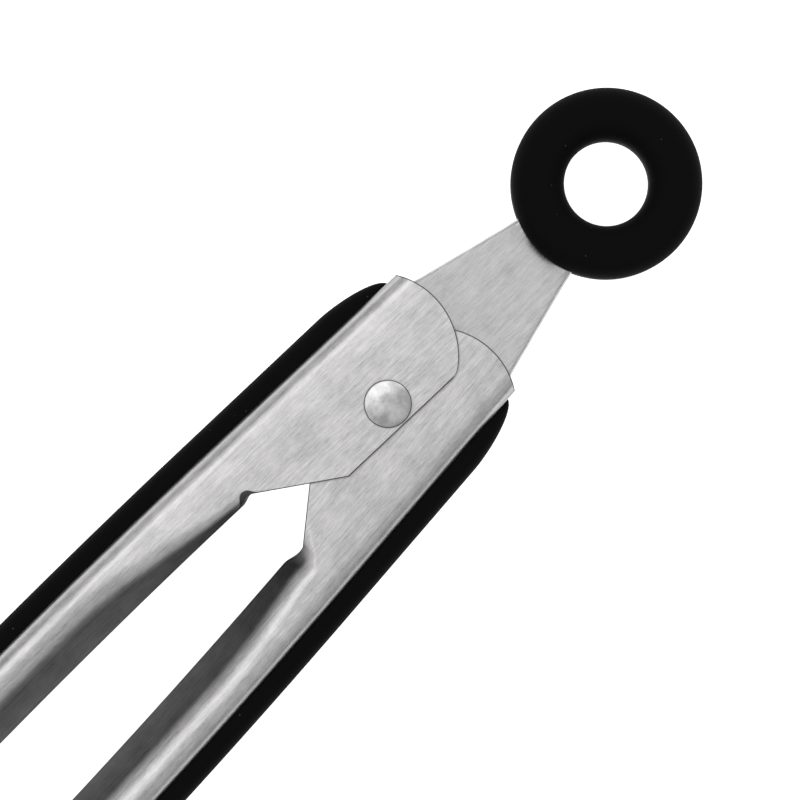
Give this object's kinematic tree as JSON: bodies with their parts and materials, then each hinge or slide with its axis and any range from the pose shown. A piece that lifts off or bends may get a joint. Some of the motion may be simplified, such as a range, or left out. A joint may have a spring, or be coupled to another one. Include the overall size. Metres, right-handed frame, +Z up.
{
  "type": "kitchen tongs",
  "caption": "Spring loaded kitchen tongs with scalloped steel jaws, soft-backed channel arms and a pull-out locking tab on a hanging ring.",
  "frame": {"origin": "centre of the bounding box in X and Y at its lowest point, with the closed tongs lying on their side", "axes": "+X along the tongs toward the hanging ring, +Y toward the outer arm, +Z up along the hinge rivet and the ring's hole"},
  "size_m": [0.324, 0.0458, 0.04],
  "materials": {
    "arm_steel": "brushed along the arm",
    "tab_steel": "brushed along the tab",
    "rivet_steel": "tumbled bright",
    "spring_steel": "drawn wire",
    "grip_elastomer": "matte soft touch",
    "ring_elastomer": "matte soft touch",
    "core_nylon": "moulded"
  },
  "bodies": {
    "pivot": {"pivot_rivet": "rivet_steel", "rivet_washer": "rivet_steel", "pivot_sleeve": "rivet_steel", "torsion_spring": "spring_steel"},
    "outer_half": {"outer_arm": "arm_steel", "outer_grip": "grip_elastomer"},
    "inner_half": {"inner_arm": "arm_steel", "inner_grip": "grip_elastomer"},
    "lock": {"lock_tab": "tab_steel", "ring_core": "core_nylon", "hang_ring": "ring_elastomer"}
  },
  "joints": [
    {"name": "outer_arm_hinge", "type": "hinge", "parent": "pivot", "child": "outer_half", "pos_m": [0.08995, 0, 0.02], "axis": [0, 0, -1], "range_deg": [0, 15], "stiffness_Nm_per_rad": 0.5, "springref_deg": 31.51, "deforming": ["torsion_spring"]},
    {"name": "inner_arm_hinge", "type": "hinge", "parent": "pivot", "child": "inner_half", "pos_m": [0.08995, 0, 0.02], "axis": [0, 0, 1], "range_deg": [0, 15], "deforming": ["torsion_spring"]},
    {"name": "lock_tab_slide", "type": "slide", "parent": "pivot", "child": "lock", "axis": [-0.9998, 0.0192, 0], "range_m": [0, 0.014]}
  ],
  "couplings": [
    {"joint": "inner_arm_hinge", "follows": "outer_arm_hinge", "ratio": 1},
    {"joint": "lock_tab_slide", "follows": "outer_arm_hinge", "m_per_rad": 0.053471}
  ]
}
